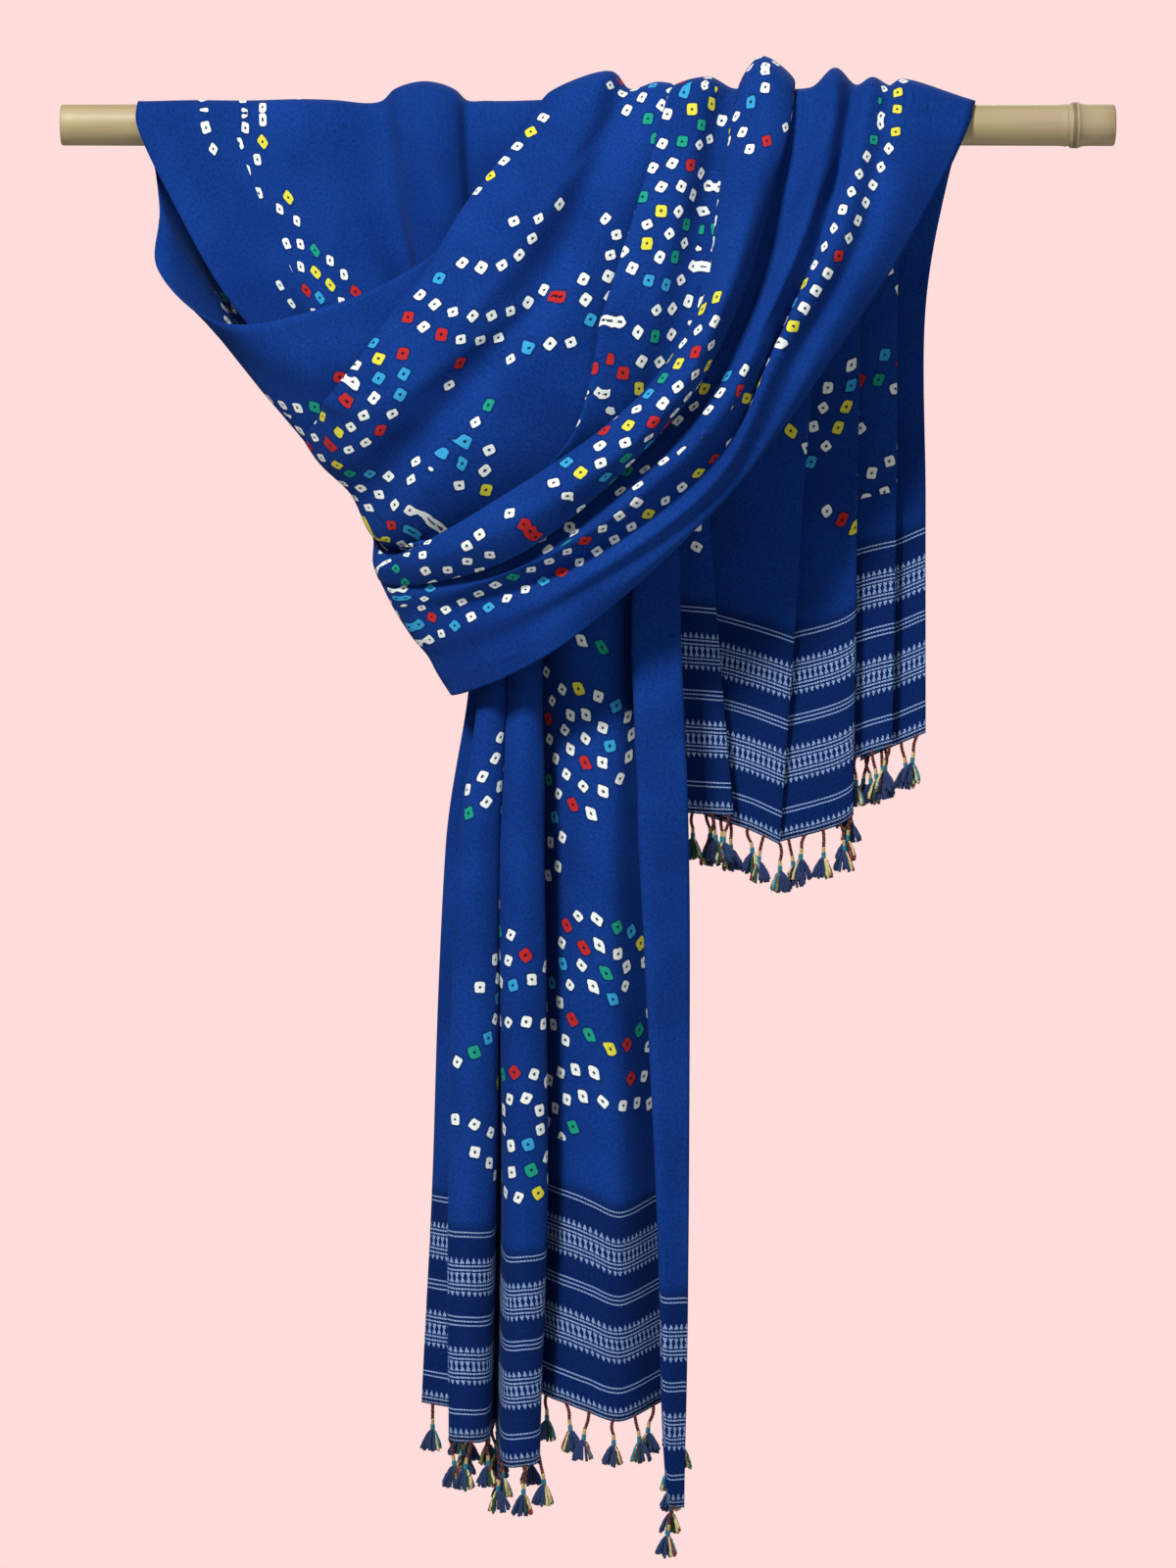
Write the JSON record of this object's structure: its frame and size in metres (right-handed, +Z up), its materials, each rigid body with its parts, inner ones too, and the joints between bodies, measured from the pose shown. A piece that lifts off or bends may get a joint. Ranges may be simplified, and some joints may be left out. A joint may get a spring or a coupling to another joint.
{
  "type": "draped shawl on a bamboo rod",
  "caption": "Long tie-dyed shawl with woven borders and tasselled ends, looped once through itself over a plain bamboo rod.",
  "frame": {"origin": "on the rod's axis at mid length, where the rod is held", "axes": "+X along the rod to the viewer's right, -Y towards the viewer, +Z up"},
  "size_m": [0.698, 0.1729, 0.9948],
  "materials": {
    "shawl_cloth": "matt tie-dyed wool and cotton weave",
    "tassel_yarn": "soft spun yarn in several colours",
    "bamboo": "dry satin bamboo"
  },
  "bodies": {
    "root": {"rod": "bamboo", "back_fall": "shawl_cloth", "swag_front": "shawl_cloth", "swag_back": "shawl_cloth", "front_fall": "shawl_cloth", "fringe_back": "tassel_yarn", "fringe_front": "tassel_yarn"}
  },
  "joints": []
}
